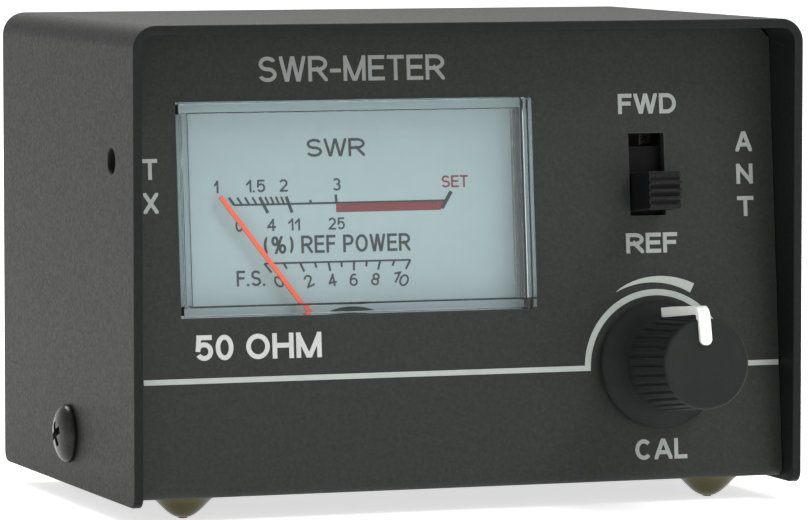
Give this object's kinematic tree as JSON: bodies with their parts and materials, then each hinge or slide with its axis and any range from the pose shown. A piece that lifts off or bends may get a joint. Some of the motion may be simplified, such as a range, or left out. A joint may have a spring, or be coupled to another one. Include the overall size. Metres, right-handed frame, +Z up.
{
  "type": "swr meter",
  "caption": "Desktop standing-wave and power meter: steel case with a leaning front panel, moving-coil dial, two-way slide switch, level knob and two coaxial sockets at the back.",
  "frame": {"origin": "on the ground under the feet, in the middle of the whole part's outline from above", "axes": "+X to the right as seen from the front, +Y towards the back, +Z up"},
  "size_m": [0.0938, 0.0828, 0.0624],
  "materials": {
    "panel_paint": "fine matt textured charcoal paint",
    "cover_paint": "fine wrinkled charcoal paint",
    "black_steel": "black oxide, glossy",
    "zinc_steel": "zinc plated",
    "amber_rubber": "translucent, glossy",
    "clear_plastic": "clear polished plastic",
    "black_foam": "foam",
    "dial_paint": "satin",
    "black_plastic": "fine grained",
    "soft_iron": "machined",
    "magnet": "ground",
    "brass": "turned",
    "aluminium": "turned",
    "bronze": "rolled strip",
    "coil_copper": "copper",
    "bright_steel": "polished",
    "needle_paint": "orange-red enamel",
    "brown_laminate": "phenolic laminate",
    "tinned_brass": "tinned",
    "zinc_cast": "die cast zinc",
    "knob_plastic": "fine matt",
    "pointer_plastic": "satin",
    "nickel_plate": "nickel plated",
    "white_plastic": "smooth",
    "board_laminate": "paper laminate",
    "glass_diode": "glass",
    "resistor_body": "lacquered",
    "capacitor_body": "dipped",
    "solder": "bright solder",
    "red_sleeving": "wire insulation",
    "black_sleeving": "wire insulation",
    "yellow_sleeving": "wire insulation"
  },
  "bodies": {
    "case": {"front_panel": "panel_paint", "chassis_floor": "panel_paint", "rear_panel": "panel_paint", "cover": "cover_paint", "cover_screws": "black_steel", "machine_nuts": "zinc_steel", "feet": "amber_rubber", "meter_window": "clear_plastic", "meter_gasket": "black_foam", "dial_plate": "dial_paint", "dial_screws": "zinc_steel", "meter_base": "black_plastic", "meter_yoke": "soft_iron", "meter_magnet": "magnet", "movement_posts": "brass", "movement_bridges": "aluminium", "movement_screws": "brass", "hairsprings": "bronze", "meter_terminals": "brass", "meter_bracket": "zinc_steel", "bracket_screw": "zinc_steel", "switch_frame": "black_steel", "switch_base": "brown_laminate", "switch_terminals": "tinned_brass", "pot_can": "zinc_steel", "pot_bushing": "zinc_cast", "pot_wafer": "brown_laminate", "pot_terminals": "tinned_brass", "pot_nut": "zinc_steel", "pot_washer": "zinc_steel", "tx_socket_flange": "nickel_plate", "tx_socket_barrel": "nickel_plate", "ant_socket_flange": "nickel_plate", "ant_socket_barrel": "nickel_plate", "socket_insulators": "white_plastic", "tx_socket_contact": "brass", "ant_socket_contact": "brass", "socket_screws": "zinc_steel", "ground_lugs": "tinned_brass", "circuit_board": "board_laminate", "board_tracks": "coil_copper", "diodes": "glass_diode", "resistors": "resistor_body", "capacitors": "capacitor_body", "board_standoffs": "brass", "board_screws": "zinc_steel", "solder_joints": "solder", "red_wires": "red_sleeving", "black_wires": "black_sleeving", "yellow_wires": "yellow_sleeving"},
    "cal_knob_body": {"cal_knob": "knob_plastic", "knob_pointer": "pointer_plastic", "pot_shaft": "aluminium", "pot_wiper": "bronze"},
    "switch_slider": {"switch_handle": "black_plastic", "switch_sliders": "bronze"},
    "needle_movement": {"needle": "needle_paint", "needle_weights": "bright_steel", "needle_staff": "bright_steel", "moving_coil": "coil_copper"}
  },
  "joints": [
    {"name": "cal_knob_turn", "type": "hinge", "parent": "case", "child": "cal_knob_body", "pos_m": [0.0267, -0.02445, 0.01794], "axis": [0, 0.996, -0.0896], "range_deg": [-150, 150]},
    {"name": "fwd_ref_slide", "type": "slide", "parent": "case", "child": "switch_slider", "axis": [0, 0.0896, 0.996], "range_m": [0, 0.0049]},
    {"name": "needle_swing", "type": "hinge", "parent": "case", "child": "needle_movement", "pos_m": [-0.0135, -0.01448, 0.01714], "axis": [0, 0.996, -0.0896], "range_deg": [0, 71], "stiffness_Nm_per_rad": 0.00002, "springref_deg": -20.05}
  ]
}
